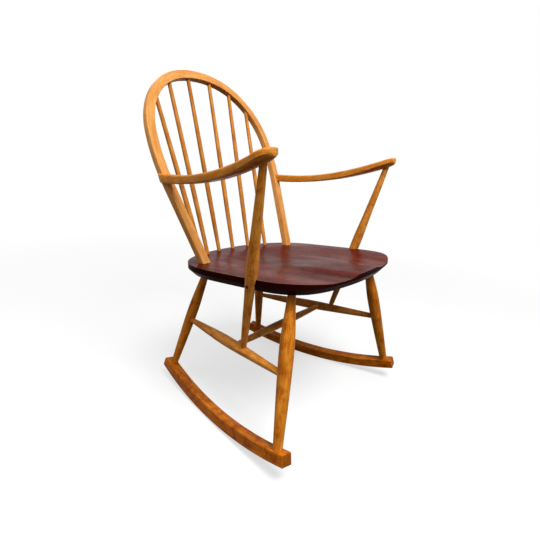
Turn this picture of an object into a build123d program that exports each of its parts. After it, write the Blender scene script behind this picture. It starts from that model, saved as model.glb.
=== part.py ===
from build123d import *
from itertools import pairwise
import math
import os

# Hoop back rocking chair, in millimetres.
# The chair faces -Y, +X is the sitter's left and +Z is up.
# The floor is z = 0 and the rockers touch it at y = 0.
# Every point below is set out in the maker's pose, in which the lowest point of the rocker
# curve lies under y = 0. The finished chair then rolls back by rest_tilt until it balances.
# Left pieces are shaped first and the right ones are their mirror images.

# ---- rockers: curved beech bars, closer together at the back and leaning in at the top
rocker_radius = 928.0        # underside curve, in the rocker's own plane
rocker_height = 26.5
rocker_width = 27.5
rocker_half_gauge = 227.5    # from the middle of the chair to where the rocker bears
rocker_toe_in = 11.1         # degrees
rocker_lean_in = 8.3         # degrees, so that it lines up with the splayed legs
rocker_front_reach = 243.0   # level, forward of the lowest point of the curve
rocker_rear_reach = 266.0
rocker_edge_bevel = 1.6
rocker_front_round = 3.0
rocker_rear_round = 6.0
rest_tilt = 2.25             # degrees

# ---- seat: a shaped elm slab that slopes down to the back
seat_height = 378.3          # top of the slab above the floor, at y = 0
seat_slope = 4.0             # degrees
seat_thickness = 27.0
seat_bevel_in = 12.5         # the bevel below runs in under the slab by this much
seat_bevel_up = 13.5         # and leaves the rest of the edge upright
# half of the outline from the middle of the front to the middle of the back
seat_half_outline = [
    (0.0, -245.0),
    (58.0, -242.5),
    (112.0, -235.5),
    (163.5, -222.5),
    (205.5, -197.0),
    (229.0, -155.0),
    (236.0, -99.0),
    (235.5, -30.0),
    (234.0, 30.0),
    (229.0, 86.0),
    (211.0, 138.0),
    (171.5, 183.0),
    (112.0, 213.5),
    (56.0, 225.5),
    (0.0, 228.5),
]
seat_middle = -10.0
# the saddle: one bowl for the sitter, which forks into two thigh hollows with a pommel between
bowl_depth = 10.0
bowl_middle = 25.0           # y of the deepest point
bowl_half_width = 205.0
bowl_to_back = 135.0         # from its middle
bowl_to_front = 290.0
thigh_depth = 8.3            # where the hollows run out at the front edge
pommel_depth = 2.4           # the ridge between them is a little below the rim
pommel_half_width = 38.0
thigh_inner = 86.0           # the hollows' level bottoms lie between these, out from the middle
thigh_outer = 120.0
thigh_end = 228.0
thigh_start = 25.0           # y where the fork begins
thigh_full = -150.0          # y where it has its full form
saddle_step = 22.0           # between the lines that the hollows are drawn on
saddle_tolerance = 0.05
saddle_above = 0.02          # the cutter clears the flat rim by this

# ---- hoop: one beech bar bent to a bow, leaning back from the seat
hoop_foot_y = 108.2          # front face of the bow where it meets the seat
hoop_lean = 25.1             # degrees back from upright
hoop_width = 24.0            # across the front face
hoop_depth = 18.0            # front to back
hoop_outer_round = 3.0
hoop_inner_round = 1.5
hoop_mortise_depth = 17.0
# the bar's middle line: a straight leg, a flat curve, a shoulder and the crown
hoop_foot_half_gauge = 177.2
hoop_leg_splay = 10.8        # degrees outward
hoop_leg_length = 216.4
hoop_side_radius = 464.0
hoop_side_turn = 17.1        # degrees
hoop_shoulder_radius = 201.0
hoop_shoulder_turn = 69.6    # degrees

# ---- spindles: six slim turned sticks, given as pairs out from the middle
spindle_feet = [(29.2, 214.2), (86.3, 202.7), (134.4, 172.8)]     # on the seat
spindle_heads = [40.5, 115.0, 174.5]    # from the middle of the chair, inside the bow
spindle_foot_diameter = 10.8
spindle_belly_diameter = 14.4
spindle_head_diameter = 10.6
spindle_belly_share = 0.31          # of the way up from the seat
spindle_seat_socket = 18.0
spindle_foot_peg = 6.0              # the even round at each end shows by this much
spindle_head_peg = 31.0             # back from the middle of the bow

# ---- legs: turned, swelling from a slim foot and quickly slim again under the seat
front_foot_setback = 33.2           # from the front end of the rocker
front_leg_top = (184.4, -156.0)     # where the axis meets the underside of the seat
# share of the way up from the rocker, diameter
front_leg_profile = [
    (0.0, 20.6),
    (0.336, 29.3),
    (0.628, 34.0),
    (0.766, 29.6),
    (0.857, 24.0),
    (0.946, 19.8),
]
front_leg_head = 18.0               # diameter of the peg let into the seat
rear_foot_setback = 36.5            # from the rear end of the rocker
rear_leg_top = (111.0, 172.2)
rear_leg_profile = [
    (0.0, 17.4),
    (0.202, 22.8),
    (0.554, 30.2),
    (0.755, 24.4),
    (0.943, 17.4),
]
rear_leg_head = 16.5
leg_seat_socket = 14.0
leg_foot_tenon = 14.0               # diameter of the peg let into the rocker
leg_foot_socket = 15.0
leg_foot_taper = 0.8                # how much slimmer the foot gets below the rocker's top

# ---- stretchers
side_stretcher_front_height = 150.0 # up the front leg's axis from the rocker
side_stretcher_rear_height = 138.0
# share of the length from the rear leg, diameter
side_stretcher_profile = [
    (0.07, 14.4),
    (0.25, 21.8),
    (0.46, 28.0),
    (0.72, 21.8),
    (0.93, 15.7),
]
side_stretcher_rear_peg = 13.0
side_stretcher_front_peg = 15.0
side_stretcher_inset = 5.0          # the pegs reach this far past the legs' axes
cross_stretcher_forward = 213.0     # from the rear leg's axis along the side stretcher
cross_stretcher_profile = [
    (0.06, 14.0),
    (0.27, 18.9),
    (0.5, 21.6),
    (0.73, 18.9),
    (0.94, 14.0),
]
cross_stretcher_peg = 14.0
cross_stretcher_inset = 3.0         # past the side stretchers' axes

# ---- arm posts: turned, from the side stretcher past the seat's edge to the arm
post_forward = 248.0                # from the rear leg's axis along the side stretcher
post_head_x = 280.4
post_head_y = -140.2
post_foot_peg = 12.5
post_head_peg = 14.5
# share of the way up from the stretcher, diameter
post_profile = [
    (0.033, 14.4),
    (0.2, 19.0),
    (0.356, 21.2),
    (0.493, 28.0),
    (0.645, 22.0),
    (0.823, 18.9),
    (0.978, 15.4),
]
post_stretcher_inset = 4.0          # past the side stretcher's axis
post_arm_socket = 10.0

# ---- arms: sawn to a plan and to a side view, then rounded
arm_outer_plan = [
    (237.0, 240.0),
    (240.5, 190.0),
    (246.5, 145.0),
    (259.0, 80.0),
    (272.5, 0.0),
    (286.5, -80.0),
    (304.0, -138.0),
]
arm_inner_plan = [
    (212.0, 240.0),
    (215.5, 190.0),
    (219.5, 145.0),
    (227.5, 80.0),
    (237.0, 0.0),
    (247.5, -80.0),
    (254.0, -138.0),
]
arm_nose = (280.5, -165.0)
arm_lap_short = 6.0                 # the lap ends this far before the back of the bow
# y, height of the underside above the seat at y = 0, thickness
arm_side_view = [
    (245.0, 183.7, 22.5),
    (190.0, 183.7, 21.5),
    (145.0, 185.3, 20.6),
    (80.0, 190.7, 19.8),
    (0.0, 204.7, 20.2),
    (-80.0, 225.2, 20.5),
    (-140.0, 246.2, 18.6),
    (-190.0, 259.7, 15.2),
]
arm_edge_round = 3.5

# ---- screws and the plugs over them
screw_diameter = 4.5
screw_head_diameter = 8.6
screw_length = 44.0
screw_rim = 0.6                     # even edge of the head before its cone
screw_point = 6.0
screw_slot_width = 1.2
screw_slot_depth = 1.4
plug_diameter = 9.0
plug_thickness = 4.0
post_screw_drop = 15.5              # below the seat's top
arm_screw_x = 220.0
arm_screw_rise = 196.2              # above the seat at y = 0
arm_screw_sink = 3.0                # head below the back of the bow

# ---- turning
turned_blend = 0.48                 # how far an arc reaches along the shorter taper beside it
peg_overlap = 0.5                   # what a peg runs back into the wood that it is turned from

# ---- fits
joint_gap = 0.1                     # all round a tenon or a peg
end_gap = 0.3                       # at the blind end of a socket
socket_mouth = 30.0                 # what is bored or cut away runs on into the open by this
past_the_chair = 900.0              # size of the blocks that trim a piece along a plane


# ------------------------------------------------------------------ set-out
toe = math.radians(rocker_toe_in)
lean_in = math.radians(rocker_lean_in)
side_view_radius = rocker_radius * math.cos(toe) ** 2 / math.cos(lean_in)
rest_pose = (Pos(0, 0, side_view_radius) * Rot(-rest_tilt, 0, 0)
             * Pos(0, 0, -side_view_radius))
# the left rocker's own place: x outward, y along it and z up its side, from where it bears
rocker_place = (Pos(rocker_half_gauge, 0, 0) * Rot(0, 0, rocker_toe_in)
                * Rot(0, -rocker_lean_in, 0))

slope = math.radians(seat_slope)
lean = math.radians(hoop_lean)
seat_plane = Plane(
    origin=(0, 0, seat_height),
    x_dir=(1, 0, 0),
    z_dir=(0, math.sin(slope), math.cos(slope)),
)
hoop_origin_z = seat_height - hoop_foot_y * math.tan(slope)
# x runs across the bow, y runs up it and z points to the front
hoop_front = Plane(
    origin=(0, hoop_foot_y, hoop_origin_z),
    x_dir=(1, 0, 0),
    z_dir=(0, -math.cos(lean), math.sin(lean)),
)
hoop_middle = hoop_front.offset(-hoop_depth / 2)


def step_along(point, angle, distance):
    """Move in the bow's plane, the angle being degrees outward from straight up it."""
    turn = math.radians(angle)
    return (point[0] + distance * math.sin(turn), point[1] + distance * math.cos(turn))


def arc_of_bow(start, angle, radius, turn):
    """Middle and end of an arc that turns inward, and the point it turns about."""
    centre = step_along(start, angle - 90, radius)
    middle = step_along(centre, angle + 90 - turn / 2, radius)
    end = step_along(centre, angle + 90 - turn, radius)
    return middle, end, centre


bow_foot = (hoop_foot_half_gauge, 0.0)
bow_leg_end = step_along(bow_foot, hoop_leg_splay, hoop_leg_length)
bow_side, bow_side_end, _ = arc_of_bow(
    bow_leg_end, hoop_leg_splay, hoop_side_radius, hoop_side_turn)
shoulder_angle = hoop_leg_splay - hoop_side_turn
bow_shoulder, bow_shoulder_end, shoulder_centre = arc_of_bow(
    bow_side_end, shoulder_angle, hoop_shoulder_radius, hoop_shoulder_turn)
crown_angle = shoulder_angle - hoop_shoulder_turn
# the crown's radius follows, so that both halves meet level in the middle
crown_radius = bow_shoulder_end[0] / math.cos(math.radians(crown_angle))
crown_centre = step_along(bow_shoulder_end, crown_angle - 90, crown_radius)


def bow_height(across):
    """Distance up the bow of its middle line, at a distance from the chair's middle."""
    if across < bow_shoulder_end[0]:
        return crown_centre[1] + math.sqrt(crown_radius ** 2 - across ** 2)
    reach = across - shoulder_centre[0]
    return shoulder_centre[1] + math.sqrt(hoop_shoulder_radius ** 2 - reach ** 2)


def rocker_top(along):
    """Point on the middle of the left rocker's upper side, level along it from where it bears."""
    inner = rocker_radius - rocker_height
    across = rocker_width / 2 - rocker_edge_bevel
    up = rocker_radius - math.sqrt(inner ** 2 - along ** 2)
    return (rocker_place * Pos(across, along, up)).position


def seat_underside(x, y):
    """Point on the underside of the slab, straight below (x, y)."""
    top = seat_height - y * math.tan(slope)
    return Vector(x, y, top - seat_thickness / math.cos(slope))


front_foot = rocker_top(front_foot_setback - rocker_front_reach)
front_head = seat_underside(*front_leg_top)
rear_foot = rocker_top(rocker_rear_reach - rear_foot_setback)
rear_head = seat_underside(*rear_leg_top)


def point_up(start, end, distance):
    """Point at a distance from start on the way to end."""
    return start + (end - start).normalized() * distance


stretcher_rear = point_up(rear_foot, rear_head, side_stretcher_rear_height)
stretcher_front = point_up(front_foot, front_head, side_stretcher_front_height)
cross_end = point_up(stretcher_rear, stretcher_front, cross_stretcher_forward)
post_foot = point_up(stretcher_rear, stretcher_front, post_forward)


def between(stations, place):
    """Second value of the stations at a place between two of them."""
    for near, far in pairwise(sorted(stations)):
        if near[0] <= place <= far[0]:
            share = (place - near[0]) / (far[0] - near[0])
            return near[1] + share * (far[1] - near[1])
    return stations[0][1]


post_head = Vector(post_head_x, post_head_y, seat_height + between(arm_side_view, post_head_y))


# ------------------------------------------------------------------ shared shapes
def placed(start, end):
    """Location at start with its z axis towards end."""
    return Plane(origin=start, z_dir=end - start).location


def turned(stations):
    """Solid of revolution about z, of tapers between (height, diameter) stations.

    Every corner between two tapers is turned to an arc that runs into both of them.
    """
    corners = [Vector(diameter / 2, height) for height, diameter in stations]
    outline = []
    end = corners[0]
    for before, corner, after in zip(corners, corners[1:], corners[2:]):
        reach = turned_blend * min((corner - before).length, (after - corner).length)
        start = point_up(corner, before, reach)
        outline.append(Line(end, start))
        end = point_up(corner, after, reach)
        outline.append(TangentArc(start, end, tangent=corner - before))
    bottom, top = corners[0], corners[-1]
    outline.append(Line(end, top))
    outline.append(Line(top, (0, top.Y)))
    outline.append(Line((0, top.Y), (0, bottom.Y)))
    outline.append(Line((0, bottom.Y), bottom))
    profile = make_face([Plane.XZ * edge for edge in outline])
    return revolve(profile, Axis.Z, 360)


def peg(diameter, low, high):
    """Round bar about z from low to high."""
    return Pos(0, 0, low) * Cylinder(
        diameter / 2, high - low, align=(Align.CENTER, Align.CENTER, Align.MIN))


def socket(start, end, diameter, low, high):
    """What is bored out for a peg on the axis from start to end."""
    return placed(start, end) * peg(diameter + 2 * joint_gap, low, high)


def mirrored(solid):
    """The same piece for the right side of the chair."""
    return mirror(solid, about=Plane.YZ)


# ------------------------------------------------------------------ rockers
def rocker_bar(extra=0.0):
    """The curved bar without its sockets. Extra makes it taller on top."""
    inner = rocker_radius - rocker_height - extra
    front = math.asin(rocker_front_reach / rocker_radius)
    rear = math.asin(rocker_rear_reach / rocker_radius)

    def on_curve(radius, angle):
        return (radius * math.sin(angle), rocker_radius - radius * math.cos(angle))

    middle = (rear - front) / 2
    outline = [
        ThreePointArc(on_curve(rocker_radius, -front), on_curve(rocker_radius, middle),
                      on_curve(rocker_radius, rear)),
        Line(on_curve(rocker_radius, rear), on_curve(inner, rear)),
        ThreePointArc(on_curve(inner, rear), on_curve(inner, middle), on_curve(inner, -front)),
        Line(on_curve(inner, -front), on_curve(rocker_radius, -front)),
    ]
    # the side view is drawn looking along x, from the bevel of the inner lower edge
    side_view = Plane(origin=(-rocker_edge_bevel, 0, 0), x_dir=(0, 1, 0), z_dir=(1, 0, 0))
    bar = extrude(side_view * make_face(outline), amount=rocker_width)
    if extra == 0.0:
        across = bar.edges().filter_by(Axis.X).sort_by(Axis.Y)
        bar = fillet(across[2:], rocker_rear_round)
        across = bar.edges().filter_by(Axis.X).sort_by(Axis.Y)
        bar = fillet(across[:2], rocker_front_round)
        long_edges = [e for e in bar.edges() if e.length > rocker_front_reach]
        bar = chamfer(long_edges, rocker_edge_bevel)
    return rocker_place * bar


def rocker():
    bar = rocker_bar()
    for foot, head in ((front_foot, front_head), (rear_foot, rear_head)):
        bar -= socket(foot, head, leg_foot_tenon, -leg_foot_socket - end_gap, rocker_height)
    return bar


# ------------------------------------------------------------------ legs
def leg(foot_point, head_point, profile, head):
    """A turned leg, its foot cut to sit on the rocker round a narrower peg."""
    length = (head_point - foot_point).length
    stations = [(share * length, diameter) for share, diameter in profile]
    foot = stations[0][1]
    body = turned([(-rocker_height / 2, foot - leg_foot_taper)] + stations)
    body += peg(head, stations[-1][0] - peg_overlap, length + leg_seat_socket)
    body = placed(foot_point, head_point) * body
    body -= rocker_bar(joint_gap)
    body = max(body.solids(), key=lambda piece: piece.volume)
    body += placed(foot_point, head_point) * peg(leg_foot_tenon, -leg_foot_socket, foot / 2)
    return body


def front_leg():
    body = leg(front_foot, front_head, front_leg_profile, front_leg_head)
    return body - socket(stretcher_front, stretcher_rear, side_stretcher_front_peg,
                         -side_stretcher_inset - end_gap, socket_mouth)


def rear_leg():
    body = leg(rear_foot, rear_head, rear_leg_profile, rear_leg_head)
    return body - socket(stretcher_rear, stretcher_front, side_stretcher_rear_peg,
                         -side_stretcher_inset - end_gap, socket_mouth)


# ------------------------------------------------------------------ stretchers
def stretcher(start, end, profile, pegs, inset):
    """Turned rail whose two pegs reach past both given points by inset."""
    length = (end - start).length
    stations = [(share * length, diameter) for share, diameter in profile]
    body = turned(stations)
    body += peg(pegs[0], -inset, stations[0][0] + peg_overlap)
    body += peg(pegs[1], stations[-1][0] - peg_overlap, length + inset)
    return placed(start, end) * body


def side_stretcher():
    rail = stretcher(stretcher_rear, stretcher_front, side_stretcher_profile,
                     (side_stretcher_rear_peg, side_stretcher_front_peg), side_stretcher_inset)
    rail -= socket(cross_end, other_side(cross_end), cross_stretcher_peg,
                   -cross_stretcher_inset - end_gap, socket_mouth)
    rail -= socket(post_foot, post_head, post_foot_peg,
                   -post_stretcher_inset - end_gap, socket_mouth)
    return rail


def other_side(point):
    """The same point on the other side of the chair."""
    return Vector(-point.X, point.Y, point.Z)


def cross_stretcher():
    return stretcher(cross_end, other_side(cross_end), cross_stretcher_profile,
                     (cross_stretcher_peg, cross_stretcher_peg), cross_stretcher_inset)


# ------------------------------------------------------------------ hoop
def hoop_section(extra=0.0):
    """The bar's section, its outer side towards -x of its own plane."""
    width = hoop_width + 2 * extra
    depth = hoop_depth + 2 * extra
    blank = Rectangle(width, depth)
    outer = blank.vertices().group_by(Axis.X)[0]
    blank = fillet(outer, hoop_outer_round)
    inner = blank.vertices().group_by(Axis.X)[-1]
    return chamfer(inner, hoop_inner_round)


def hoop_bar(extra=0.0, bottom=hoop_mortise_depth):
    """The whole bow, its feet running on below the seat's top."""
    toe_point = step_along(bow_foot, hoop_leg_splay, -bottom)
    top = (0.0, crown_centre[1] + crown_radius)

    def left(point):
        return (-point[0], point[1])

    path = [
        Line(left(toe_point), left(bow_leg_end)),
        ThreePointArc(left(bow_leg_end), left(bow_side), left(bow_side_end)),
        ThreePointArc(left(bow_side_end), left(bow_shoulder), left(bow_shoulder_end)),
        ThreePointArc(left(bow_shoulder_end), top, bow_shoulder_end),
        ThreePointArc(bow_shoulder_end, bow_shoulder, bow_side_end),
        ThreePointArc(bow_side_end, bow_side, bow_leg_end),
        Line(bow_leg_end, toe_point),
    ]
    wire = Wire([hoop_middle * edge for edge in path])
    start = hoop_middle.from_local_coords(Vector(-toe_point[0], toe_point[1], 0))
    upward = wire % 0
    across = upward.cross(hoop_middle.z_dir)
    section = Plane(origin=start, x_dir=across, z_dir=upward) * hoop_section(extra)
    return sweep(section, path=wire)


def spindle_ends(foot, head):
    """Where a spindle leaves the seat and where it ends in the middle of the bow."""
    low = seat_plane.from_local_coords(Vector(foot[0], foot[1], 0))
    high = hoop_middle.from_local_coords(Vector(head, bow_height(head), 0))
    return low, high


def hoop():
    bow = hoop_bar()
    for foot, head in zip(spindle_feet, spindle_heads):
        low, high = spindle_ends(foot, head)
        length = (high - low).length
        hole = socket(low, high, spindle_head_diameter, length - hoop_width - socket_mouth,
                      length + end_gap)
        bow -= hole
        bow -= mirrored(hole)
    hole = arm_screw_shape(joint_gap)
    bow -= hole
    bow -= mirrored(hole)
    return bow


# ------------------------------------------------------------------ spindles
def spindle(foot, head):
    """A slim stick, thickest about a third of the way up."""
    low, high = spindle_ends(foot, head)
    length = (high - low).length
    peg_start = length - spindle_head_peg
    stick = turned([
        (spindle_foot_peg, spindle_foot_diameter),
        (spindle_belly_share * length, spindle_belly_diameter),
        (peg_start, spindle_head_diameter),
    ])
    stick += peg(spindle_foot_diameter, -spindle_seat_socket, spindle_foot_peg + peg_overlap)
    stick += peg(spindle_head_diameter, peg_start - peg_overlap, length)
    return placed(low, high) * stick


# ------------------------------------------------------------------ screws and plugs
def wood_screw(extra=0.0):
    """Countersunk screw pointing along +z, its head flush at z = 0."""
    head = screw_head_diameter / 2 + extra
    shank = screw_diameter / 2 + extra
    tip = screw_length + extra
    outline = Polyline(
        (0, 0),
        (head, 0),
        (head, screw_rim),
        (shank, head - shank + screw_rim),
        (shank, tip - screw_point),
        (0, tip),
        close=True,
    )
    screw = revolve(Plane.XZ * make_face(outline), Axis.Z, 360)
    if extra == 0.0:
        screw -= Box(2 * screw_head_diameter, screw_slot_width, 2 * screw_slot_depth)
    return screw


# the post's screw runs level, from its outer side into the seat's edge
def post_at_seat():
    """Point on the post's axis at the level of its screw, and the share of the way up to it."""
    y = post_foot.Y
    for _ in range(4):
        z = seat_height - y * math.tan(slope) - post_screw_drop
        share = (z - post_foot.Z) / (post_head.Z - post_foot.Z)
        y = post_foot.Y + share * (post_head.Y - post_foot.Y)
    return post_foot + (post_head - post_foot) * share, share


def behind_plug():
    """Where the plug ends inside the post and the head of its screw sits."""
    centre, share = post_at_seat()
    deep = between(post_profile, share) / 2 - plug_thickness
    return Pos(centre.X + deep, centre.Y, centre.Z)


def post_screw_shape(extra=0.0):
    return behind_plug() * Rot(0, -90, 0) * wood_screw(extra)


def plug_shape(extra=0.0):
    """Round wooden plug over the post's screw, flush with the post."""
    return behind_plug() * Rot(0, 90, 0) * peg(plug_diameter + 2 * extra, 0, 2 * plug_thickness)


def plug():
    disc = plug_shape() & arm_post_body()
    return max(disc.solids(), key=lambda piece: piece.volume)


def arm_screw_shape(extra=0.0):
    """The arm's screw, level, from behind the bow into the end of the arm."""
    back = hoop_front.offset(-hoop_depth)
    level = seat_height + arm_screw_rise
    y = back.origin.Y + (level - back.origin.Z) * math.tan(lean)
    into_arm = Pos(arm_screw_x, y, level) * Rot(90, 0, 0)
    screw = into_arm * Pos(0, 0, arm_screw_sink) * wood_screw(extra)
    if extra > 0.0:
        screw += into_arm * peg(screw_head_diameter + 2 * extra, -screw_head_diameter,
                                arm_screw_sink)
    return screw


# ------------------------------------------------------------------ arm posts
def arm_post_body(extra=0.0):
    """The turned post before it is bored."""
    length = (post_head - post_foot).length
    stations = [(share * length, diameter + 2 * extra) for share, diameter in post_profile]
    low, high = stations[0][0], stations[-1][0]
    body = turned(stations)
    body += peg(post_foot_peg + 2 * extra, -post_stretcher_inset, low + peg_overlap)
    body += peg(post_head_peg + 2 * extra, high - peg_overlap, length + post_arm_socket)
    return placed(post_foot, post_head) * body


def arm_post():
    return arm_post_body() - plug_shape(joint_gap) - post_screw_shape(joint_gap)


# ------------------------------------------------------------------ arms
def arm_blank():
    """The arm sawn from its plan and its side view."""
    plan = make_face([
        Spline(arm_outer_plan),
        ThreePointArc(arm_outer_plan[-1], arm_nose, arm_inner_plan[-1]),
        Spline(arm_inner_plan[::-1]),
        Line(arm_inner_plan[0], arm_outer_plan[0]),
    ])
    under = [(y, seat_height + rise) for y, rise, _ in arm_side_view]
    over = [(y, seat_height + rise + thickness) for y, rise, thickness in arm_side_view[::-1]]
    view = make_face([
        Spline(under),
        Line(under[-1], over[0]),
        Spline(over),
        Line(over[-1], under[0]),
    ])
    side_view = Plane(origin=(0, 0, 0), x_dir=(0, 1, 0), z_dir=(1, 0, 0))
    return extrude(plan, amount=past_the_chair) & extrude(side_view * view, amount=past_the_chair)


def arm():
    body = arm_blank()
    behind = hoop_front.offset(arm_lap_short - hoop_depth)
    # the cut end of the lap stays square
    lap_end = body.edges().sort_by(Axis.Y)[-4:]
    body = fillet([edge for edge in body.edges() if edge not in lap_end], arm_edge_round)
    body -= behind * Box(past_the_chair, past_the_chair, past_the_chair,
                         align=(Align.CENTER, Align.CENTER, Align.MAX))
    body -= hoop_bar(joint_gap)
    body = max(body.solids(), key=lambda piece: piece.volume)
    length = (post_head - post_foot).length
    body -= socket(post_foot, post_head, post_head_peg, length - socket_mouth,
                   length + post_arm_socket + end_gap)
    body -= arm_screw_shape(joint_gap)
    return body


# ------------------------------------------------------------------ seat
def ease(t):
    """Smooth step from 0 to 1."""
    t = min(max(t, 0.0), 1.0)
    return t * t * (3 - 2 * t)


def bowl(x, y):
    """Depth of the sitter's bowl, flat in its middle and level with the rim from t = 1 on."""
    length = bowl_to_back if y > bowl_middle else bowl_to_front
    t = math.hypot(x / bowl_half_width, (y - bowl_middle) / length)
    return bowl_depth * (1 - t ** 3) ** 2 if t < 1 else 0.0


def thighs(x):
    """Depth of the two thigh hollows and of the pommel between them."""
    x = abs(x)
    inner = ease((x - pommel_half_width) / (thigh_inner - pommel_half_width))
    outer = ease((thigh_end - x) / (thigh_end - thigh_outer))
    return (pommel_depth + (thigh_depth - pommel_depth) * inner) * outer


def saddle_depth(x, y):
    """How far the seat is hollowed at a point of its top."""
    forked = ease((thigh_start - y) / (thigh_start - thigh_full))
    return bowl(x, y) * (1 - forked) + thighs(x) * forked


def saddle_cutter():
    """Solid above the hollowed top of the seat."""
    farthest = max(max(abs(x), abs(y)) for x, y in seat_half_outline)
    lines = math.ceil(farthest / saddle_step)
    places = [saddle_step * i for i in range(-lines, lines + 1)]
    grid = [[Vector(x, y, saddle_above - saddle_depth(x, y)) for y in places] for x in places]
    surface = Face.make_surface_from_array_of_points(grid, tol=saddle_tolerance)
    return extrude(surface, amount=seat_thickness, dir=(0, 0, 1))


def seat_outline(share=1.0):
    """The slab's plan, a closed curve, drawn smaller about the seat's middle by share."""
    left = list(seat_half_outline)
    right = [(-x, y) for x, y in reversed(seat_half_outline[1:-1])]
    points = [(x * share, seat_middle + (y - seat_middle) * share) for x, y in left + right]
    return make_face(Spline(points, periodic=True))


def seat_blank():
    """The slab with its bevelled underside and its hollowed top, lying flat."""
    edge = seat_thickness - seat_bevel_up
    half_width = max(x for x, _ in seat_half_outline)
    underside = seat_outline(1 - seat_bevel_in / half_width)
    slab = extrude(seat_outline(), amount=-edge)
    slab += loft([Pos(0, 0, -edge) * seat_outline(), Pos(0, 0, -seat_thickness) * underside])
    return slab - saddle_cutter()


def leg_hole(foot, head, diameter):
    """The blind hole under the seat for a leg's peg."""
    length = (head - foot).length
    return socket(foot, head, diameter, length - socket_mouth, length + leg_seat_socket + end_gap)


def seat():
    slab = seat_plane * seat_blank()
    holes = [
        leg_hole(front_foot, front_head, front_leg_head),
        leg_hole(rear_foot, rear_head, rear_leg_head),
        arm_post_body(joint_gap),
        post_screw_shape(joint_gap),
    ]
    for foot, head in zip(spindle_feet, spindle_heads):
        low, high = spindle_ends(foot, head)
        holes.append(socket(low, high, spindle_foot_diameter, -spindle_seat_socket - end_gap,
                            socket_mouth))
    for hole in holes:
        slab -= hole
        slab -= mirrored(hole)
    return slab - hoop_bar(joint_gap, hoop_mortise_depth + end_gap)


# ------------------------------------------------------------------ the chair
def build():
    pieces = {"seat": seat(), "hoop": hoop(), "cross_stretcher": cross_stretcher()}
    pairs = {
        "rocker": rocker(),
        "leg_front": front_leg(),
        "leg_rear": rear_leg(),
        "side_stretcher": side_stretcher(),
        "arm_post": arm_post(),
        "arm": arm(),
    }
    for name, left in pairs.items():
        pieces[name + "_left"] = left
        pieces[name + "_right"] = mirrored(left)
    count = len(spindle_feet)
    for i, (foot, head) in enumerate(zip(spindle_feet, spindle_heads)):
        stick = spindle(foot, head)
        pieces[f"spindle_{count + 1 + i}"] = stick
        pieces[f"spindle_{count - i}"] = mirrored(stick)
    groups = {
        "post_screws": post_screw_shape(),
        "arm_screws": arm_screw_shape(),
        "post_plugs": plug(),
    }
    for name, one in groups.items():
        pieces[name] = Compound([*one.solids(), *mirrored(one).solids()])
    return pieces


os.makedirs("parts", exist_ok=True)
for name, piece in build().items():
    export_step(rest_pose * piece, f"parts/{name}.step")
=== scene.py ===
import bmesh
import bpy
import math
import numpy as np
from mathutils import Matrix, Vector


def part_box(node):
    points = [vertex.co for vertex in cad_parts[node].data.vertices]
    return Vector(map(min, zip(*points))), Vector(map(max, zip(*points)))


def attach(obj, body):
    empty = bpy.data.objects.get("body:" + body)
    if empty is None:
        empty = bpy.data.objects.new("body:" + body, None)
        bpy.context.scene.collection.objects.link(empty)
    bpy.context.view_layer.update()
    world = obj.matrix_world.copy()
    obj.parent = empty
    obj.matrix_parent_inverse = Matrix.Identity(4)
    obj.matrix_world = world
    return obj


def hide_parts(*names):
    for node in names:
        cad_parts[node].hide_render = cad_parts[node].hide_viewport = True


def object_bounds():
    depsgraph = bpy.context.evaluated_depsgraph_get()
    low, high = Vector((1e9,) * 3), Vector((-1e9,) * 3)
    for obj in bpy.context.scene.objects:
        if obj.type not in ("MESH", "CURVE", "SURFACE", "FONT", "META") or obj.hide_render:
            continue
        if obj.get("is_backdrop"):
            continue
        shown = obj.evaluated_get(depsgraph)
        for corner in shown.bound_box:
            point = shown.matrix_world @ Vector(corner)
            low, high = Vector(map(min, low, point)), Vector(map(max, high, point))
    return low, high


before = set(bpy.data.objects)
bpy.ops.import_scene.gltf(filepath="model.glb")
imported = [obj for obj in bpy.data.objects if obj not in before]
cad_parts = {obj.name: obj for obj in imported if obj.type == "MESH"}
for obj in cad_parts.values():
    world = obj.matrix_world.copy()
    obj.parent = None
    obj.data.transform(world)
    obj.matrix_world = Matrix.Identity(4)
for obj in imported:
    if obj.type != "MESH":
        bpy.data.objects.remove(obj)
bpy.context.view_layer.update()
scene = bpy.context.scene


# ------------------------------------------------------------------ rockers
# Two curved bars of beech, bent so that the grain follows the curve and sawn off square. They
# are finished in a warm clear lacquer, darkened by handling. The legs are pegged into them.
def linear(code):
    """Linear colour of an sRGB hex code."""
    parts = [int(code[i:i + 2], 16) / 255 for i in (1, 3, 5)]
    return [p / 12.92 if p <= 0.04045 else ((p + 0.055) / 1.055) ** 2.4 for p in parts] + [1.0]


def add(tree, kind, inputs=(), **settings):
    """Adds a node with its settings, and gives its inputs a value or a link each."""
    node = tree.nodes.new(kind)
    for name, value in settings.items():
        setattr(node, name, value)
    for name, value in dict(inputs).items():
        if isinstance(value, bpy.types.NodeSocket):
            tree.links.new(value, node.inputs[name])
        else:
            node.inputs[name].default_value = value
    return node


# Beech under an old amber lacquer: straight and close-grained, with short dark ray flecks and
# a few pin knots. The lacquer gives a satin skin with a soft highlight and uneven warmth.
# Each noise has its steps in millimetres, twice across the plank and along it, then its detail,
# its roughness and how far it swirls.
beech_noises = {
    "drift": ((20.0, 20.0, 120.0), 3.0, 0.55, 0.4),     # slow change of tone
    "streak": ((2.2, 2.2, 38.0), 4.0, 0.6, 0.0),        # fine grain, a little coarse to show
    "patch": ((22.0, 22.0, 22.0), 4.0, 0.6, 0.0),       # where handling has worn and darkened it
}
beech_cells = {"ray": (3.2, 3.2, 7.5), "knot": (34.0, 34.0, 46.0)}      # mm, between marks
ray_gather = -0.7             # rays show more in those patches
ray_most = 0.7                # how dark they are on a piece with full wear
grain_least = 0.3             # how much of the streaks shows on a piece without wear
end_grain_dark = 0.55
lacquer_ior, lacquer_shine = 1.18, 0.3       # thin and old, so it mirrors little
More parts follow.
